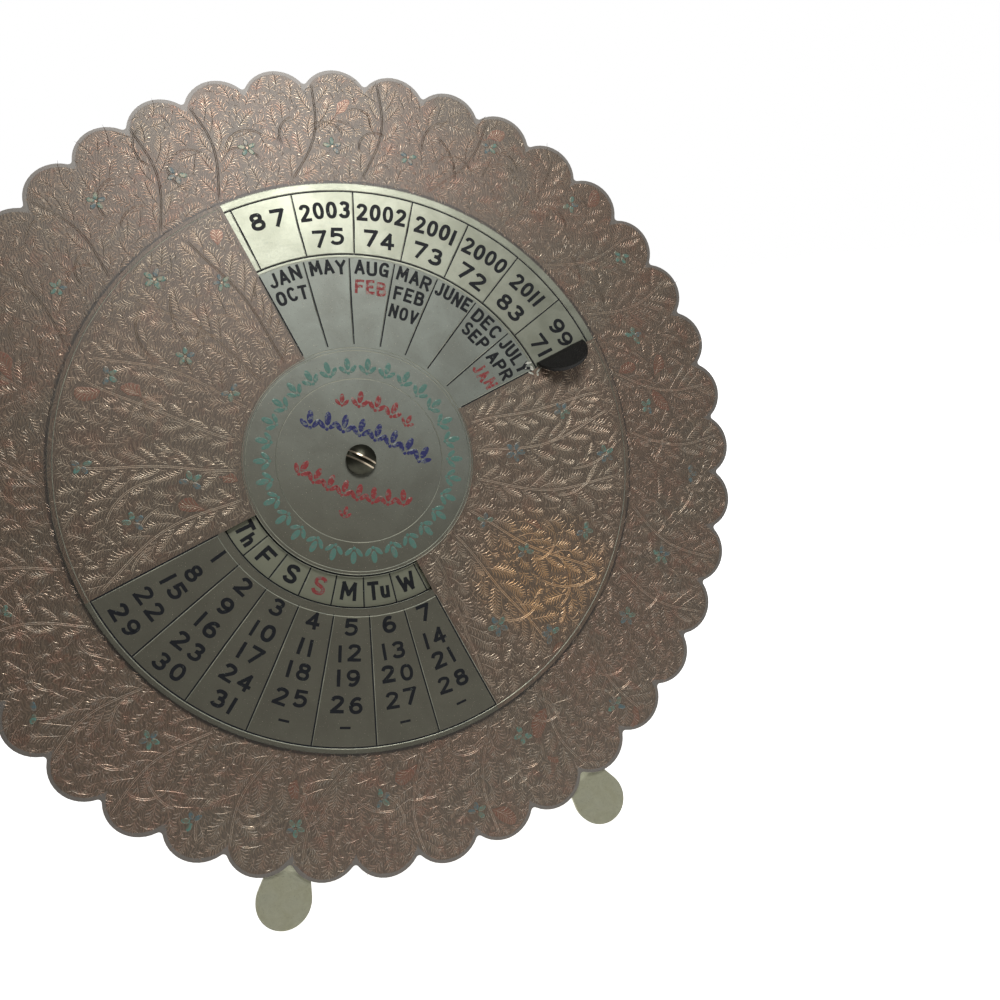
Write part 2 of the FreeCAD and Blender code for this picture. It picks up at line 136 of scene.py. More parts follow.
class Value:
    """A socket whose operators add Math nodes."""

    def __init__(self, shader, socket):
        self.shader = shader
        self.socket = socket

    def math(self, operation, *others):
        return self.shader.node("Math", {"operation": operation}, {}, 0, self, *others)

    def __add__(self, other):
        return self.math("ADD", other)

    __radd__ = __add__

    def __sub__(self, other):
        return self.math("SUBTRACT", other)

    def __rsub__(self, other):
        return self.shader.node("Math", {"operation": "SUBTRACT"}, {}, 0, other, self)

    def __mul__(self, other):
        return self.math("MULTIPLY", other)

    __rmul__ = __mul__

    def __truediv__(self, other):
        return self.math("DIVIDE", other)

    def above(self, edge, soft):
        """0 below the edge, 1 above it, with a soft step between."""
        settings = {"interpolation_type": "SMOOTHSTEP"}
        limits = {"From Min": edge - soft / 2, "From Max": edge + soft / 2}
        return self.shader.node("MapRange", settings, limits, 0, self)

    def below(self, edge, soft):
        return 1.0 - self.above(edge, soft)


class Shader:
    """A material whose nodes are added by one method."""

    def __init__(self, name):
        self.material = bpy.data.materials.new(name)
        self.material.use_nodes = True
        self.tree = self.material.node_tree
        self.surface = self.tree.nodes["Principled BSDF"]

    def node(self, kind, settings, sockets, output, *ordered):
        made = self.tree.nodes.new("ShaderNode" + kind)
        for key, value in settings.items():
            setattr(made, key, value)
        for key, value in list(enumerate(ordered)) + list(sockets.items()):
            self.feed(made.inputs[key], value)
        return Value(self, made.outputs[output])

    def feed(self, socket, value):
        if isinstance(value, Value):
            self.tree.links.new(value.socket, socket)
        elif isinstance(value, tuple) and len(value) == 3 and len(socket.default_value) == 4:
            socket.default_value = (*value, 1.0)
        else:
            socket.default_value = value

    def place(self, drawing):
        """Object coordinates carried back to a frame of drawing, in millimetres."""
        where = self.node("TexCoord", {}, {}, "Object")
        moved, turned, scaled = drawing.decompose()
        sockets = {"Location": tuple(moved), "Rotation": tuple(turned.to_euler()), "Scale": tuple(scaled)}
        return self.node("Mapping", {"vector_type": "TEXTURE"}, sockets, 0, where)

    def noise(self, where, scale, detail=3.0, rough=0.55, warp=0.0):
        sockets = {"Vector": where, "Scale": scale, "Detail": detail, "Roughness": rough, "Distortion": warp}
        return self.node("TexNoise", {}, sockets, 0)

    def parts(self, where):
        split = self.node("SeparateXYZ", {}, {}, 0, where)
        outputs = split.socket.node.outputs
        return [Value(self, outputs[number]) for number in range(3)]

    def blend(self, share, first, second):
        sockets = {"Factor": share, 6: first, 7: second}
        return self.node("Mix", {"data_type": "RGBA"}, sockets, 2)

    def bump(self, height, strength, distance):
        sockets = {"Height": height, "Strength": strength, "Distance": distance}
        return self.node("Bump", {}, sockets, 0)

    def finish(self, **values):
        names = {"colour": "Base Color", "rough": "Roughness", "metal": "Metallic", "normal": "Normal",
                 "coat": "Coat Weight"}
        for key, value in values.items():
            self.feed(self.surface.inputs[names[key]], value)
        return self.material

    def film(self, weight):
        """A thin, dull film of old lacquer, which gives the metal a grey sheen under the lamp."""
        self.surface.inputs["Coat Weight"].default_value = weight
        self.surface.inputs["Coat Roughness"].default_value = 0.42
        self.surface.inputs["Coat IOR"].default_value = 1.6
        return self


def srgb(red, green, blue):
    """A colour given on the 0 to 255 scale, as the linear values that nodes take."""
    return tuple((c / 255 / 12.92) if c / 255 <= 0.04045 else ((c / 255 + 0.055) / 1.055) ** 2.4
                 for c in (red, green, blue))


# Colours of the metal and of what is on it
GROUND_BROWN = srgb(98, 86, 71)
GROUND_RED = srgb(105, 84, 67)
GROUND_DARK = srgb(77, 66, 54)
CREST_BROWN = srgb(124, 106, 85)
CREST_RED = srgb(130, 101, 80)
CREST_GREY = srgb(130, 126, 115)
# Bright spots: painted highlights on the strokes and on the screw's slot edges, and real dust on the disc
HIGHLIGHT_AND_DUST = srgb(206, 190, 166)
CREST_WORN = srgb(168, 152, 128)
BLUSH = srgb(128, 80, 58)
CHIP = srgb(236, 234, 222)
# Pale burrs beside cut lines: partly bright cut metal, partly a painted highlight of the lit edge
BURR_HIGHLIGHT = srgb(172, 170, 150)
GOLD = srgb(196, 146, 84)
GOLD_GROUND = srgb(112, 86, 60)
PALE = srgb(146, 148, 132)
PALE_WORN = srgb(130, 132, 116)
PALE_DULL = srgb(150, 151, 130)  # the weekday ring, which is hardly rubbed
PLAIN = srgb(124, 129, 120)
# Painted shade: the plain metal's darker colour towards the bottom of the disc
PLAIN_SHADED = srgb(100, 98, 84)
PLAIN_DARK = srgb(76, 73, 62)
MARGIN = srgb(116, 112, 106)
# Painted shade: near black for the gap under the disc's edge, round the weekday window and on the disc's
# walls
SHADE_BLACK = srgb(34, 29, 24)
BACK_LIGHT = srgb(160, 144, 102)
BACK_DARK = srgb(132, 115, 78)
BLACK_PAINT = srgb(15, 18, 23)
RED_PAINT = srgb(150, 62, 62)
BLUE_PAINT = srgb(50, 52, 104)
TEAL_PAINT = srgb(94, 134, 122)
SLATE_PAINT = srgb(88, 110, 114)
LACQUER = srgb(130, 76, 58)
LACQUER_WORN = srgb(118, 92, 74)
TAB_BLACK = srgb(16, 15, 13)
SCREW_LIGHT = srgb(74, 74, 62)
SCREW_DARK = srgb(40, 39, 33)


def plain_metal(name, light, dark, rough, scale=0.12, grain=0.5):
    """Tarnished plain brass with cloudy patches, fine scratches and specks."""
    shader = Shader(name)
    where = shader.place(DIAL)
    clouds = shader.noise(where, scale, 5.0, 0.6, 0.6)
    fine = shader.noise(where, 1.6, 4.0, 0.7)
    specks = shader.noise(where, 3.2, 2.0).above(0.68, 0.06)
    shade = clouds.above(0.5, 0.5) * 0.7 + fine * 0.3
    colour = shader.blend(shade, light, dark)
    colour = shader.blend(specks * 0.35, colour, PLAIN_DARK)
    height = fine * 0.6 + clouds * 0.4
    return shader.finish(colour=colour, rough=shade * 0.16 + rough, metal=BRASS_METALLIC,
                         normal=shader.bump(height, 0.25 * grain, BUMP_DEPTH))


def patches_of(shader, where):
    """Broad patches that the ground and the strokes share, redder on one side and greyer on the other."""
    return shader.noise(where, 0.045, 4.0, 0.6, 0.8).above(0.48, 0.24)


def blush_of(shader, where):
    """Small warm blushes where the lacquer has reddened."""
    return shader.noise(where, 0.2, 3.0, 0.6, 0.5).above(0.6, 0.14) * 0.4


def gold_share(shader, where):
    """Where handling has rubbed the lower right of the disc back to gold."""
    x, y, _ = shader.parts(where)
    across = (x - GOLD_SPOT[0]) / GOLD_REACH[0]
    along = (y - GOLD_SPOT[1]) / GOLD_REACH[1]
    reach = across * across + along * along + shader.noise(where, 0.12, 3.0)
    return reach.below(1.1, 1.3)


def crest_metal(name, side):
    """Cut strokes and stems: brighter than the ground between them, with painted glints, bright spots that
    stand in for highlights.
    """
    shader = Shader(name).film(CREST_FILM)
    where = shader.place(PLACES[side])
    fine = shader.noise(where, 0.9, 3.0)
    painted_glint = shader.noise(where, 1.1, 3.0, 0.7).above(0.61, 0.10)
    colour = shader.blend(patches_of(shader, where), CREST_BROWN, CREST_RED)
    colour = shader.blend(fine.above(0.55, 0.3) * 0.6, colour, CREST_GREY)
    colour = shader.blend(blush_of(shader, where), colour, BLUSH)
    if side == "disc":
        colour = shader.blend(0.35, colour, CREST_WORN)
        colour = shader.blend(gold_share(shader, where) * 0.65, colour, GOLD)
    # Painted highlight: scattered glint spots coloured bright.
    colour = shader.blend(painted_glint * 0.5, colour, HIGHLIGHT_AND_DUST)
    return shader.finish(colour=colour, rough=0.36 - painted_glint * 0.1, metal=BRASS_METALLIC)


def combed(shader, where):
    """Fine swirling lines, as a graver leaves them in the ground between the leaves."""
    settings = {"wave_type": "BANDS", "bands_direction": "X", "wave_profile": "SIN"}
    sockets = {"Vector": where, "Scale": COMB_SCALE, "Distortion": 26.0, "Detail": 1.0, "Detail Scale": 0.45}
    return shader.node("TexWave", settings, sockets, 1).above(0.5, 0.7)


def ground_colour(shader, where, side, comb):
    """The brown ground between the strokes."""
    clouds = shader.noise(where, 0.16, 4.0, 0.6, 0.4)
    fine = shader.noise(where, 1.2, 3.0)
    colour = shader.blend(patches_of(shader, where), GROUND_BROWN, GROUND_RED)
    colour = shader.blend(blush_of(shader, where), colour, BLUSH)
    if side == "disc":
        colour = shader.blend(0.3, colour, GROUND_DARK)
        colour = shader.blend(gold_share(shader, where) * 0.6, colour, GOLD_GROUND)
    colour = shader.blend(clouds.above(0.52, 0.3) * 0.35, colour, GROUND_DARK)
    colour = shader.blend(comb * 0.5, colour, CREST_BROWN)
    return shader.blend(fine.above(0.5, 0.4) * 0.5, colour, GROUND_DARK)


def scallop_margin(shader, x, y, radius, width):
    """1 on the plain rim that follows every scallop, from its edge inwards by the width."""
    pitch = 2.0 * pi / SCALLOPS
    turn = x.math("ARCTAN2", y)
    off = (turn + pitch / 2).math("FLOORED_MODULO", pitch) - pitch / 2
    outward = radius * off.math("COSINE") - (TIP_RADIUS - SCALLOP_RADIUS)
    aside = radius * off.math("SINE")
    reach = (outward * outward + aside * aside).math("SQRT")
    return (reach + width).above(SCALLOP_RADIUS, 0.3) * outward.above(2.0, 3.0)


def dial_metal():
    """The scalloped plate: leaf ground, pale rings of years and weekdays, grey margin, plain back, and
    painted shadow in a dark ring under the disc's edge and round the weekday ring.
    """
    shader = Shader("dial_brass_engraved").film(FILM_WEIGHT)
    where = shader.place(DIAL)
    x, y, depth = shader.parts(where)
    radius = (x * x + y * y).math("SQRT")
    clouds = shader.noise(where, 0.09, 5.0, 0.6, 0.6)
    fine = shader.noise(where, 1.5, 4.0, 0.7)
    comb = combed(shader, where)
    colour = ground_colour(shader, where, "dial", comb)
    margin = scallop_margin(shader, x, y, radius, clouds * 0.9 + 0.35)
    colour = shader.blend(margin * 0.8, colour, MARGIN)
    # Painted shadow: near black in a cloudy ring just outside the disc's edge, where the disc shades the
    # dial, and at the inner edge of the weekday ring and in a band just outside it.
    gap_shadow = radius.above(DISC_RADIUS, 0.2) * radius.below(DISC_RADIUS + 1.0, 0.4) * clouds.above(0.35, 0.3)
    outside = radius.above(DAY_RING[1], 0.2) * radius.below(SHADE_REACH, 1.0)
    window_shadow = radius.below(DAY_RING[0] + 0.3, 0.3) + outside
    colour = shader.blend(gap_shadow * 0.75 + window_shadow * 0.85, colour, SHADE_BLACK)
    pale = shader.blend(clouds.above(0.5, 0.3), PALE, PALE_WORN)
    pale = shader.blend(fine.above(0.62, 0.2) * 0.5, pale, PLAIN)
    pale = shader.blend(radius.below(YEAR_RING[0] - 3.0, 1.0), pale, PALE_DULL)
    rubbed = radius.below(PLAIN_RING[1], 0.4)
    colour = shader.blend(rubbed, colour, pale)
    back = shader.blend(clouds.above(0.5, 0.4), BACK_LIGHT, BACK_DARK)
    colour = shader.blend(depth.below(DIAL_BACK, 0.2), colour, back)
    cut = (1.0 - rubbed) * (1.0 - margin) * depth.above(DIAL_EDGE, 0.2)
    height = fine * 0.35 + clouds * 0.35 + comb * cut * 0.8
    return shader.finish(colour=colour, rough=0.52 + fine * 0.10 - rubbed * 0.19, metal=BRASS_METALLIC,
                         coat=FILM_WEIGHT - rubbed * 0.6, normal=shader.bump(height, 0.32, BUMP_DEPTH))


def disc_metal():
    """The turning disc: leaf quadrants, plain month and date sectors and hub, painted darker towards the
    bottom as shade, walls painted near black as shade, and the dark folded tab.
    """
    shader = Shader("disc_brass_engraved").film(FILM_WEIGHT)
    where = shader.place(DISC)
    x, y, depth = shader.parts(where)
    radius = (x * x + y * y).math("SQRT")
    clouds = shader.noise(where, 0.10, 5.0, 0.6, 0.6)
    fine = shader.noise(where, 1.5, 4.0, 0.7)
    specks = shader.noise(where, 2.6, 2.0).above(0.66, 0.05)
    dust = shader.noise(where, 4.2, 1.0).above(0.74, 0.04)
    comb = combed(shader, where)
    ground = ground_colour(shader, where, "disc", comb)
    # Painted shade: the plain metal turns darker and browner towards the bottom of the disc.
    plain = shader.blend(y.above(0.0, 60.0), PLAIN_SHADED, PLAIN)
    plain = shader.blend(clouds.above(0.5, 0.5) * 0.4, plain, PLAIN_DARK)
    plain = shader.blend(specks * 0.35, plain, GROUND_DARK)
    plain = shader.blend(dust * 0.7, plain, HIGHLIGHT_AND_DUST)
    sector = (y.math("ABSOLUTE") - x.math("ABSOLUTE")).above(0.0, 0.3)
    bare = sector.math("MAXIMUM", radius.below(HUB_CIRCLES[0], 0.2))
    colour = shader.blend(bare, ground, plain)
    # Painted shade: the disc's rim and the walls of its notch and window, below its front face, are near
    # black.
    colour = shader.blend(depth.below(DISC_EDGE, 0.04), colour, SHADE_BLACK)
    colour = shader.blend(depth.below(DISC_REAR, 0.1), colour, BACK_LIGHT)
    tab = depth.above(TAB_FOOT, 0.2)
    colour = shader.blend(tab, colour, TAB_BLACK)
    height = fine * 0.35 + clouds * 0.35 + comb * (1.0 - bare) * depth.above(DISC_EDGE, 0.04) * 0.8
    return shader.finish(colour=colour, rough=0.50 + fine * 0.10 - bare * 0.05,
                         metal=BRASS_METALLIC - tab * 0.6, coat=(FILM_WEIGHT - bare * 0.4) * (1.0 - tab),
                         normal=shader.bump(height, 0.3, BUMP_DEPTH))


def screw_metal():
    """The screw's dark head, with painted highlights along its slot's edges."""
    shader = Shader("screw_metal")
    where = shader.place(DIAL)
    x, y, _ = shader.parts(where)
    across = polar(1.0, SLOT_ANGLE + 90.0)
    aside = (x * across.x + y * across.y).math("ABSOLUTE") - SLOT_WIDTH / 2
    clouds = shader.noise(where, 0.6, 3.0)
    # Painted highlight: bright bands along both edges of the slot.
    edge = aside.above(0.0, 0.04) * aside.below(0.35, 0.3)
    colour = shader.blend(clouds, SCREW_LIGHT, SCREW_DARK)
    colour = shader.blend(edge * 0.8, colour, HIGHLIGHT_AND_DUST)
    return shader.finish(colour=colour, rough=0.38 - edge * 0.1, metal=0.9,
                         normal=shader.bump(clouds, 0.2, BUMP_DEPTH))


def paint(name, side, colour, wear=0.62, shown=PLAIN, film=0.0):
    """Paint in a stamped or cut mark, rubbed through in specks."""
    shader = Shader(name).film(film)
    shader.surface.inputs["Specular IOR Level"].default_value = 0.25
    where = shader.place(PLACES[side])
    rubbed = shader.noise(where, 1.1, 4.0, 0.7).above(wear, 0.1)
    shade = shader.noise(where, 0.25, 3.0)
    mixed = shader.blend(shade * 0.5, colour, tuple(c * 0.6 for c in colour))
    mixed = shader.blend(rubbed * 0.7, mixed, shown)
    return shader.finish(colour=mixed, rough=0.55 - rubbed * 0.1, metal=rubbed * 0.7,
                         normal=shader.bump(shade, 0.2, 0.0001))


# Drawing on the dial

class Drawing:
    """Points and faces laid out flat in millimetres, then set on the dial or the disc in one piece."""

    def __init__(self):
        self.points = []
        self.faces = []

    def add(self, points, faces):
        start = len(self.points)
        self.points.extend(points)
        self.faces.extend(tuple(start + number for number in face) for face in faces)

    def ridge(self, path, width, height, taper, flat=0.0, closed=False):
        """A raised line along a flat path: a triangle across, or flat-topped, thin at its ends."""
        across = [(-0.5, 0.0), (-0.5 * flat, 1.0), (0.5 * flat, 1.0), (0.5, 0.0)]
        if flat == 0.0:
            across = [(-0.5, 0.0), (0.0, 1.0), (0.5, 0.0)]
        count = len(path)
        rings = []
        for number, point in enumerate(path):
            ending = not closed and number in (0, count - 1)
            size = taper if ending else 1.0
            side = sideways(path, number, closed)
            for share, rise in across:
                place = point + side * (share * width * size)
                rings.append((place.x, place.y, rise * height * size))
        sides = len(across)
        faces = []
        for number in range(count if closed else count - 1):
            near = number * sides
            far = ((number + 1) % count) * sides
            for edge in range(sides):
                following = (edge + 1) % sides
                faces.append((near + edge, near + following, far + following, far + edge))
        if not closed:
            faces.append(tuple(range(sides)))
            faces.append(tuple(reversed(range((count - 1) * sides, count * sides))))
        self.add(rings, faces)

    def patch(self, outline, height, inset):
        """A thin raised patch with sloping sides inside a gently curved outline."""
        middle = sum(outline, Vector((0, 0))) / len(outline)
        count = len(outline)
        low = [(point.x, point.y, 0.0) for point in outline]
        top = [middle + (point - middle) * inset for point in outline]
        high = [(point.x, point.y, height) for point in top]
        faces = [(n, (n + 1) % count, count + (n + 1) % count, count + n) for n in range(count)]
        faces.append(tuple(range(count, 2 * count)))
        faces.append(tuple(reversed(range(count))))
        self.add(low + high, faces)

    def petal(self, heart, long_half, short_half, way, height, sides=10):
        """An oval patch whose long side points along an angle."""
        turn = 2.0 * pi / sides
        outline = [heart + polar(long_half * cos(turn * step), way)
                   + polar(short_half * sin(turn * step), way + 90.0) for step in range(sides)]
        self.patch(outline, height, 0.75)

    def build(self, name, side, material):
        """Sets the drawing on the dial or the disc, where it rides, with the material it is given."""
        mesh = bpy.data.meshes.new(name)
        mesh.from_pydata(self.points, [], self.faces)
        shape = bmesh.new()
        shape.from_mesh(mesh)
        bmesh.ops.recalc_face_normals(shape, faces=shape.faces)
        shape.to_mesh(mesh)
        shape.free()
        mesh.transform(PLACES[side])
        piece = put_in_scene(name, mesh)
        mesh.materials.append(material)
        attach(piece, BODIES[side])


def sideways(path, number, closed):
    """The direction across a path at one of its points."""
    count = len(path)
    before = path[(number - 1) % count] if closed else path[max(number - 1, 0)]
    after = path[(number + 1) % count] if closed else path[min(number + 1, count - 1)]
    along = (after - before).normalized()
    return Vector((-along.y, along.x))


def arc_path(radius, start, end, step=1.5):
    count = max(2, int(abs(end - start) / step) + 1)
    return [polar(radius, start + (end - start) * n / (count - 1)) for n in range(count)]


def circle_path(radius, count=240):
    return [polar(radius, 360.0 * n / count) for n in range(count)]


def scallop_reach(angle):
    """How far the scalloped edge lies from the centre at an angle."""
    pitch = 360.0 / SCALLOPS
    off = radians((angle + pitch / 2) % pitch - pitch / 2)
    middle = TIP_RADIUS - SCALLOP_RADIUS
    return middle * cos(off) + sqrt(SCALLOP_RADIUS ** 2 - (middle * sin(off)) ** 2)


# Engraved leaves

class Foliage:
    """Leaves of parallel cut strokes along curved spines, which stop where older leaves lie."""

    CELL_SIZE = 0.2
    REACH_STEP = 0.2
    STROKE_PITCH = 0.66
    STROKE_WIDTHS = (0.24, 0.31)
    STROKE_HEIGHTS = (0.018, 0.034)
    STEM_STEP = 1.2
    LACQUER_HEIGHT = 0.008
    BRANCH_LACQUER = 0.022  # shares of the leaves that are lacquered
    FILL_LACQUER = 0.012

    def __init__(self, allowed):
        self.allowed = allowed
        self.used = set()
        self.strokes = Drawing()
        self.stems = Drawing()
        self.tints = {"lacquer": Drawing(), "teal": Drawing(), "slate": Drawing()}

    def cell(self, point):
        return int(point.x // self.CELL_SIZE), int(point.y // self.CELL_SIZE)

    def free(self, point):
        return self.cell(point) not in self.used and self.allowed(point)

    def mark(self, point):
        column, row = self.cell(point)
        for across in (-1, 0, 1):
            for along in (-1, 0, 1):
                self.used.add((column + across, row + along))

    def leaf(self, root, heading, length, width, curl, tinted=0.0):
        """One leaf: a spine that curls, with strokes on both sides that slant towards its tip."""
        steps = max(4, int(length / self.STROKE_PITCH))
        spine = [root.copy()]
        way = heading
        for _ in range(steps):
            way += curl / steps
            spine.append(spine[-1] + polar(length / steps, way))
        if sum(self.free(point) for point in spine) < 0.6 * len(spine):
            return
        marks = []
        outline = {1: [], -1: []}
        way = heading
        for number in range(1, steps):
            way += curl / steps
            share = number / steps
            half = 0.5 * width * sin(pi * share ** 0.75) ** 0.7
            for side in (1, -1):
                slant = way + side * (60.0 - 24.0 * share)
                start = spine[number] + polar(0.1, slant)
                reach = 0.0
                while reach < half * 1.3 and self.free(start + polar(reach, slant)):
                    reach += self.REACH_STEP
                    marks.append(start + polar(reach - self.REACH_STEP, slant))
                outline[side].append(start + polar(max(reach - self.REACH_STEP, 0.05), slant))
                if reach < 0.5:
                    continue
                end = reach - self.REACH_STEP + uniform(-0.06, 0.06)
                path = [start, start + polar(end, slant)]
                if end > 1.1:
                    bow = polar(0.12 * end, slant - side * 90.0)
                    path.insert(1, start + polar(end * 0.55, slant) + bow)
                self.strokes.ridge(path, uniform(*self.STROKE_WIDTHS),
                                   uniform(*self.STROKE_HEIGHTS), 0.45, 0.45)
        self.stems.ridge(spine[::2], 0.14, 0.04, 0.2)
        for point in marks + spine:
            self.mark(point)
        if random() < tinted and len(outline[1]) > 3:
            edge = [spine[0]] + outline[1] + [spine[-1]] + outline[-1][::-1]
            self.tints["lacquer"].patch(edge, self.LACQUER_HEIGHT, 0.92)

    def branch(self, root, heading, length, curl, sway, leaf_length, leaf_width):
        """A double stem with leaves on both sides, longer in its middle, and one at its tip."""
        steps = max(6, int(length / self.STEM_STEP))
        places = [(root.copy(), heading)]
        way = heading
        for number in range(steps):
            way += curl / steps + sway * cos(2.0 * pi * number / steps) * 6.0 / steps
            following = places[-1][0] + polar(length / steps, way)
            if not self.allowed(following):
                break
            places.append((following, way))
        if len(places) < 4:
            return
        for side in (-1, 1):
            path = [point + polar(side * 0.17, way + 90.0) for point, way in places]
            self.stems.ridge(path, 0.17, 0.05, 0.2)
        for (first, _), (second, _) in zip(places, places[1:]):
            for share in (0.0, 0.17, 0.33, 0.5, 0.67, 0.83):
                self.mark(first.lerp(second, share))
        step = max(2, int(leaf_width * 0.8 / self.STEM_STEP))
        for number in range(1, len(places) - 1, step):
            point, way = places[number]
            size = leaf_length * (0.75 + 0.45 * sin(pi * number / len(places)))
            for side in (1, -1):
                start = point + polar(0.35, way + side * 90.0)
                self.leaf(start, way + side * uniform(44.0, 60.0), size * uniform(0.85, 1.15),
                          leaf_width * uniform(0.9, 1.2), side * uniform(-75.0, 5.0), self.BRANCH_LACQUER)
        tip, way = places[-1]
        self.leaf(tip, way, leaf_length * 0.7, leaf_width, uniform(-60.0, 60.0))

    def flower(self, middle, size, petals=5):
        """A small enamelled flower: slate and teal petals round a bead."""
        turn = uniform(0.0, 72.0)
        for number in range(petals):
            angle = turn + 360.0 / petals * number
            colour = "slate" if random() < 0.4 else "teal"
            if random() > 0.15:
                heart = middle + polar(size * 0.56, angle)
                self.tints[colour].petal(heart, size * 0.42, size * 0.25, angle, 0.05)
            vein = [middle + polar(size * 0.2, angle), middle + polar(size * 0.95, angle)]
            self.stems.ridge(vein, 0.15, 0.09, 0.3)
        self.stems.petal(middle, size * 0.15, size * 0.15, 0.0, 0.1, 6)
        reach = int(size / self.CELL_SIZE)
        column, row = self.cell(middle)
        for across in range(-reach, reach + 1):
            for along in range(-reach, reach + 1):
                if across * across + along * along <= reach * reach:
                    self.used.add((column + across, row + along))

    def fill(self, places, lean, length, width):
        """Small leaves in whatever is still free."""
        for point in places:
            way = angle_of(point) + lean + uniform(-40.0, 40.0)
            if self.free(point) and self.free(point + polar(0.8, way)):
                self.leaf(point, way, length * uniform(0.7, 1.2), width, uniform(-60.0, 60.0),
                          self.FILL_LACQUER)

    def build(self, side):
        crest = crest_metal("cut_crest_" + side, side)
        self.strokes.build(side + "_leaf_strokes", side, crest)
        self.stems.build(side + "_leaf_stems", side, crest)
        for tint, kind, colour, wear, shown, film in (
                ("lacquer", "lacquer_leaves", LACQUER, 0.42, LACQUER_WORN, 0.6),
                ("teal", "teal_petals", TEAL_PAINT, 0.48, CREST_BROWN, 0.5),
                ("slate", "slate_petals", SLATE_PAINT, 0.48, CREST_BROWN, 0.5)):
            name = side + "_" + kind
            self.tints[tint].build(name, side, paint(name, side, colour, wear, shown, film))


def scattered(inner, outer, spacing, start=0.0, end=360.0):
    """Places over a ring or a sector, a spacing apart, in an uneven order."""
    places = []
    radius = inner
    while radius < outer:
        count = max(1, int(radians(end - start) * radius / spacing))
        for number in range(count):
            angle = start + (end - start) * (number + random()) / count
            places.append(polar(radius + uniform(-0.4, 0.4) * spacing, angle))
        radius += spacing * 0.8
    shuffle(places)
    return places


# Spacing, lean, length and width of each round of small leaves
FILLS = ((2.2, 25.0, 5.0, 2.8), (1.5, -40.0, 3.4, 2.2), (1.1, 70.0, 2.2, 1.6), (0.9, 0.0, 1.4, 1.2))
MAIN_LEAF = (6.4, 3.1)  # length and width on the long stems
DIAL_STEMS = 26


def either_curl():
    """How far a side branch curls, to one side or the other."""
    return choice((-1, 1)) * uniform(50.0, 170.0)


def dial_foliage():
    """Stems that sweep outward round the dial, with flowers between them."""
    def allowed(point):
        radius = point.length
        return LEAF_RING[0] < radius < scallop_reach(angle_of(point)) - LEAF_MARGIN

    plants = Foliage(allowed)
    for number in range(DIAL_STEMS):
        angle = 360.0 / DIAL_STEMS * (number + uniform(-0.12, 0.12))
        plants.flower(polar(uniform(74.0, 87.0), angle + 8.5), uniform(2.0, 2.6))
        lean = 24.0 if number % 2 else 40.0
        plants.branch(polar(68.2, angle), angle + lean, uniform(25.0, 29.0), -34.0, 8.0, *MAIN_LEAF)
    for number in range(DIAL_STEMS * 3):
        angle = 120.0 / DIAL_STEMS * (number + uniform(-0.3, 0.3))
        plants.branch(polar(uniform(70.0, 84.0), angle), angle + uniform(-70.0, 40.0),
                      uniform(8.0, 13.0), either_curl(), 0.0, 5.0, 2.7)
    for spacing, lean, length, width in FILLS:
        plants.fill(scattered(*LEAF_RING, spacing), lean, length, width)
    return plants


def disc_foliage():
    """Fans of stems over the two side quadrants of the disc."""
    def allowed(point):
        return QUADRANT[0] < point.length < QUADRANT[1] and abs(point.x) - abs(point.y) > 0.9

    plants = Foliage(allowed)
    for middle in (90.0, 270.0):
        for radius, off in ((38.0, -22.0), (45.0, 14.0), (52.0, -30.0), (57.0, 2.0), (50.0, 33.0),
                            (60.0, -16.0), (61.0, 24.0), (33.0, 12.0)):
            spot = polar(radius + uniform(-1.0, 1.0), middle + off + uniform(-3.0, 3.0))
            plants.flower(spot, uniform(2.1, 2.7))
        for off in (-36.0, -22.0, -8.0, 8.0, 22.0, 36.0):
            plants.branch(polar(27.8, middle + off), middle + off * 1.05, uniform(33.0, 37.0),
                          uniform(-30.0, 30.0), 8.0, *MAIN_LEAF)
        for off in (-40.0, -31.0, -23.0, -15.0, -7.0, 1.0, 9.0, 17.0, 25.0, 33.0, 41.0):
            plants.branch(polar(uniform(40.0, 52.0), middle + off), middle + off, 15.0,
                          either_curl(), 0.0, 5.2, 2.7)
        for spacing, lean, length, width in FILLS:
            plants.fill(scattered(*QUADRANT, spacing, middle - 45.0, middle + 45.0), lean, length, width)
    return plants


# Cut lines

LINE_WIDTH = 0.34
BURR_WIDTH = 0.18


class Cuts:
    """Dark filled lines, each with a raised burr along one side, coloured pale: partly bright cut metal,
    partly a painted highlight of the cut's lit edge.
    """

    def __init__(self):
        self.fill = Drawing()
        self.burr = Drawing()

    def line(self, path, closed=False, filled=True):
        if filled:
            self.fill.ridge(path, LINE_WIDTH, 0.02, 0.9, 0.9, closed)
        aside = (LINE_WIDTH + BURR_WIDTH) / 2
        edge = [point + sideways(path, number, closed) * aside for number, point in enumerate(path)]
        self.burr.ridge(edge, BURR_WIDTH, 0.06, 0.4, 0.0, closed)

    def spoke(self, angle, inner, outer):
        wobble = uniform(-0.15, 0.15)
        self.line([polar(inner, angle), polar((inner + outer) / 2, angle + wobble), polar(outer, angle)])

    def build(self, side):
        self.fill.build(side + "_lines", side, paint("line_fill_" + side, side, BLACK_PAINT, 0.66))
        self.burr.build(side + "_burrs", side, plain_metal("burr_" + side, BURR_HIGHLIGHT, PLAIN, 0.36))


def dial_cuts():
    cuts = Cuts()
    for number in range(CELLS):
        cuts.spoke(YEAR_PHASE + CELL * number, *YEAR_RING)
        cuts.spoke(DAY_PHASE + CELL * number, *DAY_RING)
    for radius in YEAR_RING + DAY_RING:
        cuts.line(circle_path(radius), True)
    return cuts


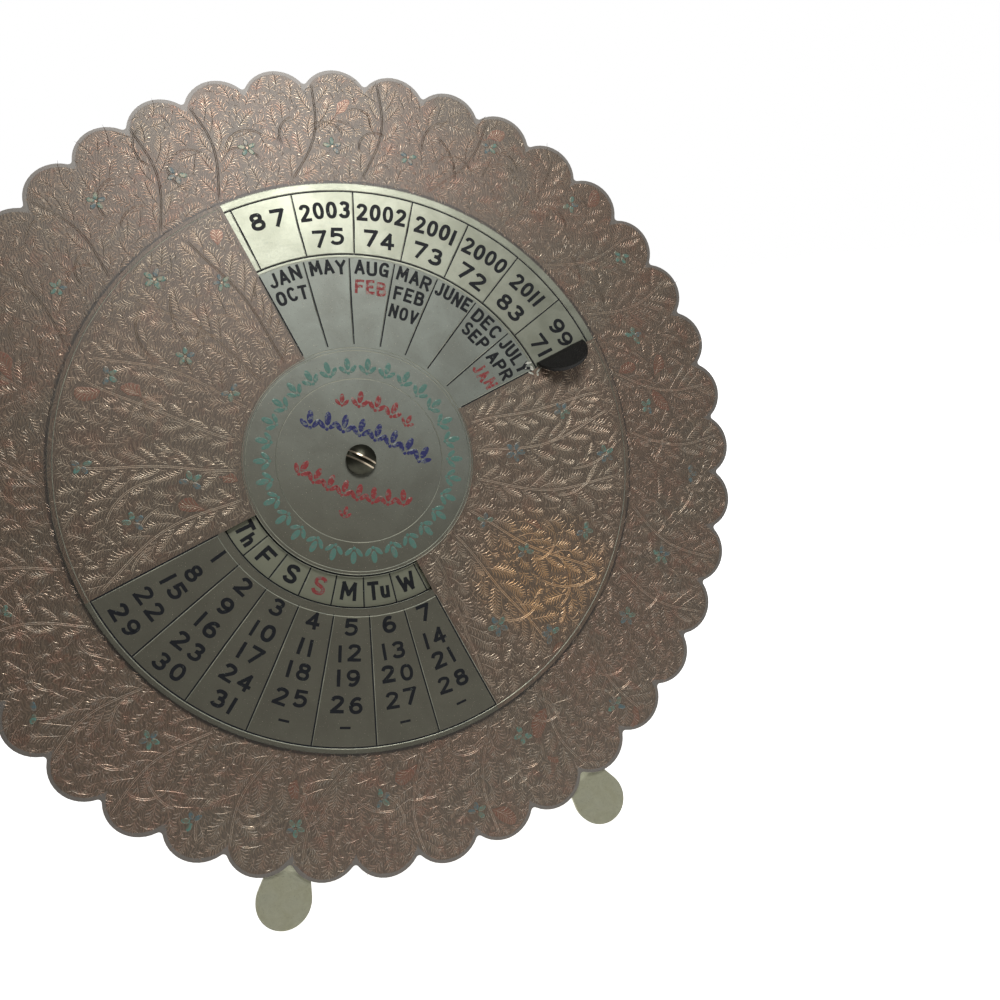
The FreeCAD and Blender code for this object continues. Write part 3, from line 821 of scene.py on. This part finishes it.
def disc_cuts():
    cuts = Cuts()
    for number in range(CELLS_SHOWN + 1):
        off = CELL * number - HALF_OPEN
        cuts.spoke(off, *MONTH_RING)
        cuts.spoke(180.0 + off, *DATE_RING)
    cuts.line(arc_path(DATE_RING[0], 180.0 - HALF_OPEN, 180.0 + HALF_OPEN), filled=False)
    cuts.line(arc_path(DATE_RING[1], 180.0 - HALF_OPEN, 180.0 + HALF_OPEN))
    for middle in (90.0, 270.0):
        cuts.line(arc_path(DATE_RING[1], middle - HALF_OPEN, middle + HALF_OPEN), filled=False)
    for radius in HUB_CIRCLES:
        cuts.line(circle_path(radius, 160), True, False)
    # Pale burrs along the notch's edges, partly a painted highlight of its lit edges.
    cuts.line(arc_path(NOTCH_INNER - 0.4, -HALF_OPEN, HALF_OPEN), filled=False)
    for angle in (-HALF_OPEN - 0.5, HALF_OPEN + 0.9):
        cuts.line([polar(NOTCH_INNER + 1.2, angle), polar(DISC_RADIUS - 0.5, angle)], filled=False)
    return cuts


def corner_chips():
    """Bright torn metal where the tab was folded up from the corner of the notch."""
    chips = Drawing()
    for radius, angle, long_half, short_half, way in (
            (47.9, 42.6, 1.0, 0.3, 60.0), (48.0, 44.4, 0.7, 0.45, 130.0), (49.2, 45.9, 0.9, 0.25, 20.0),
            (47.2, 45.6, 0.8, 0.28, 95.0), (48.6, 46.8, 0.45, 0.3, 150.0), (46.6, 43.6, 0.35, 0.2, 40.0)):
        chips.petal(polar(radius, angle), long_half, short_half, way, 0.1, 7)
    chips.build("disc_corner_chips", "disc", plain_metal("torn_metal", CHIP, PALE, 0.32))


# Stamped numbers and letters. Each punch is drawn on a grid ten high: straight bars between points,
# or a bent bar where it starts with c, and a closed one where it starts with o.
PUNCHES = {
    "0": ("o 3,10 5,9.2 6,5 5,.8 3,0 1,.8 0,5 1,9.2",),
    "1": ("0,0 0,10",),
    "2": ("c .2,7.6 1,9.6 3,10 5.2,9.3 5.8,7.4 4.6,5 .2,.3", "0,0 6,0"),
    "3": ("c .2,8.4 1.4,9.8 3,10 5.2,9.4 5.3,7 4.2,5.5 2.2,5.3", "c 2.2,5.3 5,5.1 6,3 5,.6 3,0 1,.3 0,1.8"),
    "4": ("4.3,0 4.3,10 0,2.8 6,2.8",),
    "5": ("5.6,10 1,10 .6,5.4", "c .6,5.4 2,6.4 4,6.3 5.8,5 6,3 5,.8 3,0 1,.3 0,1.6"),
    "6": ("c 5.2,9 3.8,10 1.6,9.2 .2,6 0,3 1,.6 3,0 5,.7 6,3 5,5.3 3,6 1.1,5.2 .2,3.6",),
    "7": ("0,10 6,10 2,0",),
    "8": ("o 3,10 5,9.4 5.4,7.6 4.6,5.8 3,5.4 1.4,5.8 .6,7.6 1,9.4",
          "o 3,5.4 5.1,4.8 6,2.8 5.1,.6 3,0 .9,.6 0,2.8 .9,4.8"),
    "9": ("c .8,1 2.2,0 4.4,.8 5.8,4 6,7 5,9.4 3,10 1,9.3 0,7 1,4.7 3,4 4.9,4.8 5.8,6.4",),
    "A": ("0,0 3,10 6,0", "1,3 5,3"),
    "B": ("0,0 0,10", "c 0,10 3.6,10 5.4,9.2 5.4,6.4 3.8,5.4 0,5.4", "c 0,5.4 4,5.4 6,4.4 6,1 4.2,0 0,0"),
    "C": ("c 5.8,7.8 4.8,9.7 3,10 1,9.2 0,5 1,.8 3,0 4.8,.3 5.8,2.2",),
    "D": ("0,0 0,10", "c 0,10 3.6,10 5.6,8.4 6,5 5.6,1.6 3.6,0 0,0"),
    "E": ("5.4,10 0,10 0,0 5.6,0", "0,5.2 4.4,5.2"),
    "F": ("5.6,10 0,10 0,0", "0,5.2 4.4,5.2"),
    "G": ("c 5.8,7.8 4.8,9.7 3,10 1,9.2 0,5 1,.8 3,0 5,.6 5.8,2", "5.8,0 5.8,4.4 3.6,4.4"),
    "J": ("4.6,10 4.6,3", "c 4.6,3 4.2,.6 2.4,0 .6,.5 0,2.6"),
    "L": ("0,10 0,0 5.2,0",),
    "M": ("0,0 .5,10 3.5,3 6.5,10 7,0",),
    "N": ("0,0 0,10 6,0 6,10",),
    "O": ("o 3.2,10 5.6,9.2 6.4,5 5.6,.8 3.2,0 .8,.8 0,5 .8,9.2",),
    "P": ("0,0 0,10", "c 0,10 4,10 6,9 6,5.8 4,4.8 0,4.8"),
    "R": ("0,0 0,10", "c 0,10 4,10 6,9 6,5.8 4,4.8 0,4.8", "3,4.6 6,0"),
    "S": ("c 5.6,8 4.8,9.7 3,10 .8,9.4 .2,7.4 1,5.8 3,5 5.2,4 5.8,2.4 5,.4 3,0 1,.3 0,2.2",),
    "T": ("0,10 6,10", "3,10 3,0"),
    "U": ("0,10 0,3", "c 0,3 .4,.5 3,-.2 5.6,.5 6,3", "6,3 6,10"),
    "V": ("0,10 3,0 6,10",),
    "W": ("0,10 1.6,0 3.8,7 6,0 7.6,10",),
    "Y": ("0,10 3,5 6,10", "3,5 3,0"),
    "u": ("0,6 0,2", "c 0,2 .3,.2 2,0 3.7,.2 4,2", "4,0 4,6"),
    "h": ("0,0 0,8", "c 0,3 .5,5 2,5.2 3.7,5 4,3", "4,3 4,0"),
}
BAR_SHARE = 0.2  # how wide a bar is for a letter one high


def rounded(points, closed):
    """The points with their corners cut off twice over."""
    for _ in range(2):
        cut = []
        pairs = list(zip(points, points[1:] + points[:1])) if closed else list(zip(points, points[1:]))
        for first, second in pairs:
            cut.append(first.lerp(second, 0.25))
            cut.append(first.lerp(second, 0.75))
        points = cut if closed else [points[0]] + cut[1:-1] + [points[-1]]
    return points


def punch_bars(letter):
    """The bars of one letter, each a list of points and whether it closes, and the letter's width."""
    bars = []
    for drawn in PUNCHES[letter]:
        marks = drawn.split()
        bent = marks[0] in "co"
        points = [Vector([float(part) / 10.0 for part in mark.split(",")]) for mark in marks[bent:]]
        if bent:
            closed = marks[0] == "o"
            bars.append((rounded(points, closed), closed))
        else:
            bars.extend(([first, second], False) for first, second in zip(points, points[1:]))
    return bars, max(point.x for points, _ in bars for point in points)


class Stamps:
    """Letters and digits stamped along rings, kept apart by their paint."""

    HEIGHT = 0.04
    TOP_SHARE = 0.84  # the flat part of a bar's width
    PAINTS = {"black": (BLACK_PAINT, 0.68), "red": (RED_PAINT, 0.53)}

    def __init__(self):
        self.sheets = {"black": Drawing(), "red": Drawing()}

    def stamp(self, text, radius, angle, height, colour="black", inward=False, narrow=1.0, gap=0.14):
        """Stamps text with its tops outward, or inward where it hangs below the centre."""
        punches = [punch_bars(letter) for letter in text]
        bar = BAR_SHARE * height
        widths = [max(width * narrow, 0.1) * height + bar for _, width in punches]
        run = -(sum(widths) + gap * height * (len(text) - 1)) / 2
        for (bars, width), full in zip(punches, widths):
            along = run + full / 2
            run += full + gap * height
            share = degrees(along / radius)
            place_angle = angle - share if inward else angle + share
            turn = place_angle + (180.0 if inward else 0.0) + uniform(-4.5, 4.5)
            spot = polar(radius + uniform(-0.25, 0.25), place_angle)
            right = polar(height * narrow, turn + 90.0)
            top = polar(height - bar, turn)
            for number, (points, closed) in enumerate(bars):
                path = [spot + right * (point.x - width / 2) + top * (point.y - 0.5) for point in points]
                if len(path) == 2:
                    reach = (path[1] - path[0]).normalized() * bar * 0.4
                    path = [path[0] - reach, (path[0] + path[1]) / 2, path[1] + reach]
                rise = self.HEIGHT + 0.002 * number
                self.sheets[colour].ridge(path, bar * uniform(0.92, 1.08), rise, 0.94, self.TOP_SHARE, closed)

    def dash(self, radius, angle, length):
        half = degrees(length / 2 / radius)
        path = arc_path(radius, angle - half, angle + half, half)
        self.sheets["black"].ridge(path, 0.6, self.HEIGHT, 0.9, self.TOP_SHARE)

    def build(self, side):
        for colour, (shade, wear) in self.PAINTS.items():
            filling = paint("stamp_%s_%s" % (colour, side), side, shade, wear)
            self.sheets[colour].build("%s_%s_stamps" % (side, colour), side, filling)


FIRST_YEAR = 1960
LAST_YEAR = 2014
SHOWN_YEARS = (1987, 1975, 1974, 1973, 1972, 1983, 1971)
WEEKDAYS = 7
SUNDAY = 3  # its place in the row of initials
LONGEST_MONTH = 31


def year_class(year):
    """The weekday on which a year's months after February start, as a number."""
    return (year + year // 4) % WEEKDAYS


def years_round_the_ring():
    """One year of the cycle for each cell, clockwise: each cell starts a weekday earlier than the last."""
    ring = list(SHOWN_YEARS)
    left = [year for year in range(FIRST_YEAR + CELLS - 1, FIRST_YEAR - 1, -1) if year not in ring]
    while left:
        wanted = (year_class(ring[-1]) - 1) % WEEKDAYS
        match = next((year for year in left if year_class(year) == wanted), left[0])
        ring.append(match)
        left.remove(match)
    return ring


def year_text(year):
    return str(year) if year >= 2000 else "%02d" % (year % 100)


def dial_stamps():
    """Years in two rows, and weekday initials in the inner ring with Sunday in red."""
    stamps = Stamps()
    for number, year in enumerate(years_round_the_ring()):
        angle = YEAR_PHASE + CELL * (number + 0.5)
        later = year + CELLS
        if later <= LAST_YEAR:
            text = year_text(later)
            stamps.stamp(text, YEAR_ROWS[0], angle, YEAR_HEIGHT,
                         narrow=0.74 if len(text) == 4 else 1.0, gap=0.09)
            stamps.stamp(year_text(year), YEAR_ROWS[1], angle, YEAR_HEIGHT)
        else:
            stamps.stamp(year_text(year), YEAR_ROWS[0], angle, YEAR_HEIGHT, gap=0.35)
    days = ("W", "Tu", "M", "S", "S", "F", "Th")
    for number in range(CELLS):
        angle = DAY_PHASE + CELL * (number + 0.5)
        day = number % WEEKDAYS
        colour = "red" if day == SUNDAY else "black"
        narrow = 0.72 if len(days[day]) > 1 else 0.95
        stamps.stamp(days[day], DAY_ROW, angle, DAY_HEIGHT, colour, True, narrow, 0.05)
    return stamps


MONTH_CELLS = (("JAN", "OCT"), ("MAY",), ("AUG", "FEB"), ("MAR", "FEB", "NOV"), ("JUNE",), ("DEC", "SEP"),
               ("JULY", "APR", "JAN"))
LEAP_MONTHS = ((2, 1), (6, 2))  # the cell and row of each month that is red, for leap years


def disc_stamps():
    """Months over the hub, and the days of the month under it in five rows."""
    stamps = Stamps()
    for number, months in enumerate(MONTH_CELLS):
        angle = CELL * (number + 0.5) - HALF_OPEN
        for row, month in enumerate(months):
            colour = "red" if (number, row) in LEAP_MONTHS else "black"
            narrow = 0.82 - 0.07 * row - (0.14 if len(month) > 3 else 0.0)
            stamps.stamp(month, MONTH_ROWS[row], angle, MONTH_HEIGHTS[row], colour, narrow=narrow, gap=0.11)
    for column in range(CELLS_SHOWN):
        angle = 180.0 + HALF_OPEN - CELL * (column + 0.5)
        for row, radius in enumerate(DATE_ROWS):
            day = 1 + column + WEEKDAYS * row
            if day > LONGEST_MONTH:
                stamps.dash(radius - 0.6, angle, 2.4)
            else:
                stamps.stamp(str(day), radius, angle, DATE_HEIGHT, inward=True, gap=0.26)
    return stamps


# Ornament of the hub

class Sprigs:
    """Small three-leaved sprigs, cut and painted."""

    def __init__(self):
        self.sheets = {"teal": Drawing(), "red": Drawing(), "blue": Drawing()}

    def sprig(self, colour, foot, height, turn, spread=42.0):
        """A tall leaf between two short ones over a bead, growing along an angle."""
        sheet = self.sheets[colour]
        sheet.petal(foot + polar(height * 0.64, turn), height * 0.36, height * 0.17, turn, 0.04)
        for side in (1, -1):
            way = turn + side * spread
            sheet.petal(foot + polar(height * 0.44, way), height * 0.29, height * 0.13, way, 0.04)
        sheet.petal(foot + polar(height * 0.1, turn), height * 0.1, height * 0.1, 0.0, 0.04, 6)

    def build(self):
        paints = {"teal": TEAL_PAINT, "red": RED_PAINT, "blue": BLUE_PAINT}
        for colour, sheet in self.sheets.items():
            filling = paint("hub_%s" % colour, "disc", paints[colour], 0.55)
            sheet.build("hub_%s_sprigs" % colour, "disc", filling)


# Rows of sprigs across the hub: paint, reach, rise, bow, fan and each sprig's height
HUB_ROWS = (
    ("blue", 13.0, 5.0, -0.010, 1.2, (4.6,) * 8),
    ("red", 12.6, -9.6, 0.012, -1.4, (4.2,) * 8),
    ("red", 7.6, 11.8, -0.02, 2.0, (3.2, 4.2, 4.2, 4.2, 3.2)),
)


def hub_sprigs():
    """A ring of teal sprigs in the outer band, and rows of blue and red ones across the hub."""
    sprigs = Sprigs()
    for number in range(30):
        sprigs.sprig("teal", polar(20.1, 12.0 * number), 4.1, 12.0 * number)
    for colour, reach, rise, bow, fan, heights in HUB_ROWS:
        for number, height in enumerate(heights):
            across = 2.0 * reach * number / (len(heights) - 1) - reach
            sprigs.sprig(colour, Vector((across, rise + bow * across * across)), height, across * fan)
    sprigs.sprig("red", Vector((0.0, -14.2)), 3.0, 0.0)
    return sprigs


# The solids' own metal

# What each plain metal is on, its light and dark colours, roughness, patch scale and maybe grain
PLAIN_METALS = {
    "leg": (("left_leg", "right_leg"), (204, 204, 180), (164, 162, 136), 0.36, 0.35, 1.0),
    "washer": (("thrust_washer", "spacer_washer", "back_washer"), (176, 158, 104), (120, 102, 66), 0.35, 0.5),
    "nut": (("center_nut", "lock_nut"), (182, 162, 104), (124, 104, 62), 0.32, 0.6),
    "rivet": (("left_leg_rivets", "right_leg_rivets", "bracket_rivets"),
              (186, 166, 112), (128, 108, 68), 0.32, 0.6),
    "spring": (("spring_washer",), (140, 140, 138), (90, 88, 84), 0.35, 0.6),
    "bracket": (("hinge_bracket",), (166, 150, 104), (112, 96, 62), 0.38, 0.3),
    "pin": (("hinge_pin",), (190, 172, 118), (140, 120, 76), 0.28, 0.6),
    "strut": (("rear_strut",), (170, 156, 114), (116, 100, 66), 0.38, 0.2),
}


def dress_solids():
    """Gives every solid of the frame its metal."""
    finishes = {"back_plate": dial_metal(), "front_disc": disc_metal(), "center_screw": screw_metal()}
    for kind, (wearers, light, dark, *finish) in PLAIN_METALS.items():
        metal = plain_metal(kind + "_metal", srgb(*light), srgb(*dark), *finish)
        finishes.update((wearer, metal) for wearer in wearers)
    for name, solid in nodes.items():
        if not solid.material_slots:
            solid.data.materials.append(finishes[name])
        for slot in solid.material_slots:
            slot.material = finishes[name]


# Camera, light and floor

CAMERA_PLACE = Vector((-27.0, -23.2, 211.8))  # in the dial's frame, in millimetres
CAMERA_RIGHT = Vector((0.9409, -0.2295, 0.2491))
CAMERA_UP = Vector((0.2134, 0.9728, 0.0905))
FOCAL_PIXELS = 908.0
IMAGE_PIXELS = 1000.0
SENSOR = 36.0
WORLD_LEVEL = 0.11


def place_camera():
    data = bpy.data.cameras.new("camera")
    data.sensor_width = SENSOR
    data.lens = SENSOR * FOCAL_PIXELS / IMAGE_PIXELS
    data.clip_start = 0.01
    camera = put_in_scene("camera", data)
    turn = DIAL.to_3x3() * 1000.0
    right = (turn @ CAMERA_RIGHT).normalized()
    back = right.cross(turn @ CAMERA_UP).normalized()
    basis = Matrix((right, back.cross(right), back)).transposed().to_4x4()
    camera.matrix_world = Matrix.Translation(DIAL @ CAMERA_PLACE) @ basis
    bpy.context.scene.camera = camera


def lamp(name, place, target, size, power):
    data = bpy.data.lights.new(name, "AREA")
    data.shape = "DISK"
    data.size = size
    data.energy = power
    made = put_in_scene(name, data)
    made.location = place
    made.rotation_euler = (Vector(target) - Vector(place)).to_track_quat("-Z", "Y").to_euler()


def floor_surface():
    """A pale floor that keeps soft shadows and looks white to the camera and in metal."""
    shader = Shader("floor")
    path = shader.node("LightPath", {}, {}, "Is Camera Ray")
    seen = path.math("MAXIMUM", Value(shader, path.socket.node.outputs["Is Glossy Ray"]))
    seen = seen.math("MAXIMUM", Value(shader, path.socket.node.outputs["Is Transmission Ray"]))
    shader.feed(shader.surface.inputs["Base Color"], (0.8, 0.8, 0.8))
    shader.feed(shader.surface.inputs["Roughness"], 0.9)
    shader.feed(shader.surface.inputs["Emission Color"], shader.blend(seen, (0.0, 0.0, 0.0), (1.0, 1.0, 1.0)))
    shader.surface.inputs["Emission Strength"].default_value = 0.95
    return shader.material


def set_stage():
    bpy.ops.object.select_all(action="DESELECT")
    bpy.ops.mesh.primitive_plane_add(size=3.0, location=(0, 0.3, -0.0002))
    floor = bpy.context.object
    floor.name = "floor"
    floor.data.transform(floor.matrix_world)
    floor.matrix_world = Matrix.Identity(4)
    floor.data.materials.append(floor_surface())


def set_world(level):
    """An even world that is white to the camera and gives soft light of a level."""
    world = bpy.data.worlds.new("world")
    bpy.context.scene.world = world
    world.use_nodes = True
    tree = world.node_tree
    background = tree.nodes["Background"]
    path = tree.nodes.new("ShaderNodeLightPath")
    strength = tree.nodes.new("ShaderNodeMapRange")
    strength.inputs["To Min"].default_value = level
    tree.links.new(path.outputs["Is Camera Ray"], strength.inputs["Value"])
    tree.links.new(strength.outputs[0], background.inputs["Strength"])
    background.inputs["Color"].default_value = (1.0, 1.0, 1.0, 1.0)


dress_solids()
dial_foliage().build("dial")
disc_foliage().build("disc")
dial_cuts().build("dial")
disc_cuts().build("disc")
dial_stamps().build("dial")
disc_stamps().build("disc")
hub_sprigs().build()
corner_chips()
place_camera()
set_stage()
set_world(WORLD_LEVEL)
lamp("key", (0.05, -0.35, 0.56), (0.0, 0.0, 0.13), size=0.24, power=1.85)
lamp("fill", (0.5, -0.5, 0.3), (0.0, 0.0, 0.09), size=0.5, power=0.3)
lamp("rear", (0.2, 0.7, 0.5), (0.0, 0.0, 0.09), size=0.6, power=3.0)
bpy.context.scene.view_settings.view_transform = "Standard"
